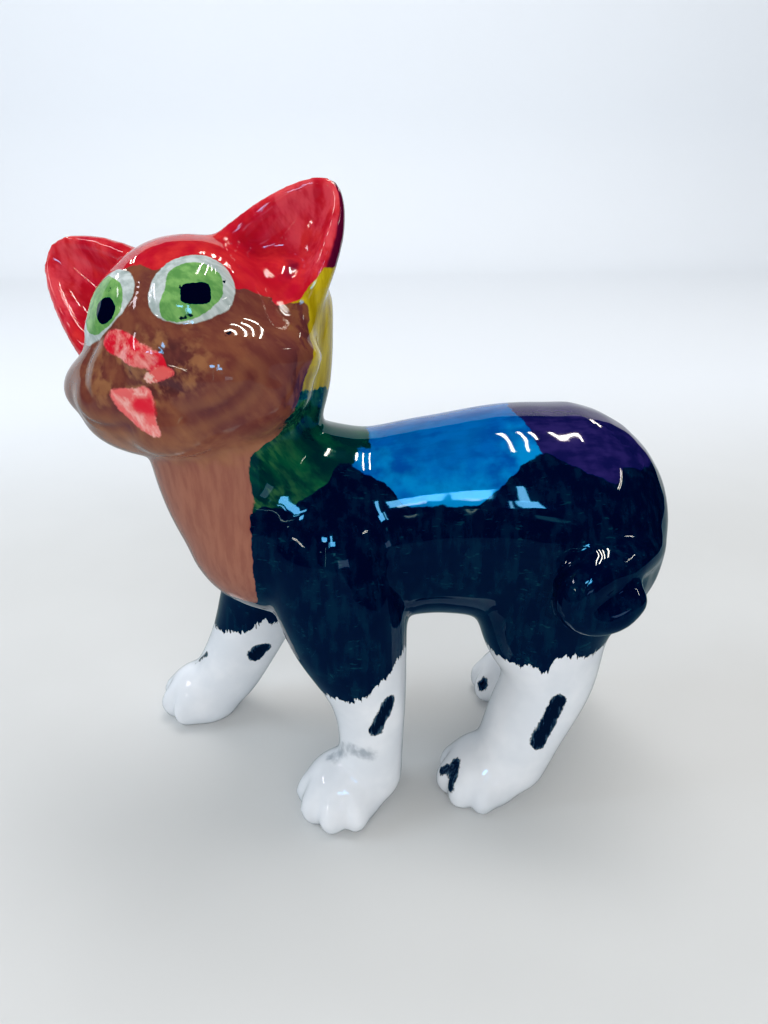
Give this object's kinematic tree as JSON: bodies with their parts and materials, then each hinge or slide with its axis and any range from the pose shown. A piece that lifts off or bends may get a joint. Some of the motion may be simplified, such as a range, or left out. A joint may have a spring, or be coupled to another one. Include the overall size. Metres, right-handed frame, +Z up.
{
  "type": "painted kitten figurine",
  "caption": "Glazed ceramic kitten ornament that walks and looks up to its left, hand-painted in rainbow bands over a dark coat with white paws, for standing on a shelf.",
  "frame": {"origin": "on the floor plane, under the middle of the kitten's outline seen from above", "axes": "+Z up, -Y the way the kitten walks, +X its left side, to which it turns its head"},
  "size_m": [0.097, 0.2096, 0.2098],
  "materials": {
    "glazed_clay": "brushed underglaze colours in bands, under a clear high-gloss glaze"
  },
  "bodies": {
    "root": {"kitten": "glazed_clay"}
  },
  "joints": []
}
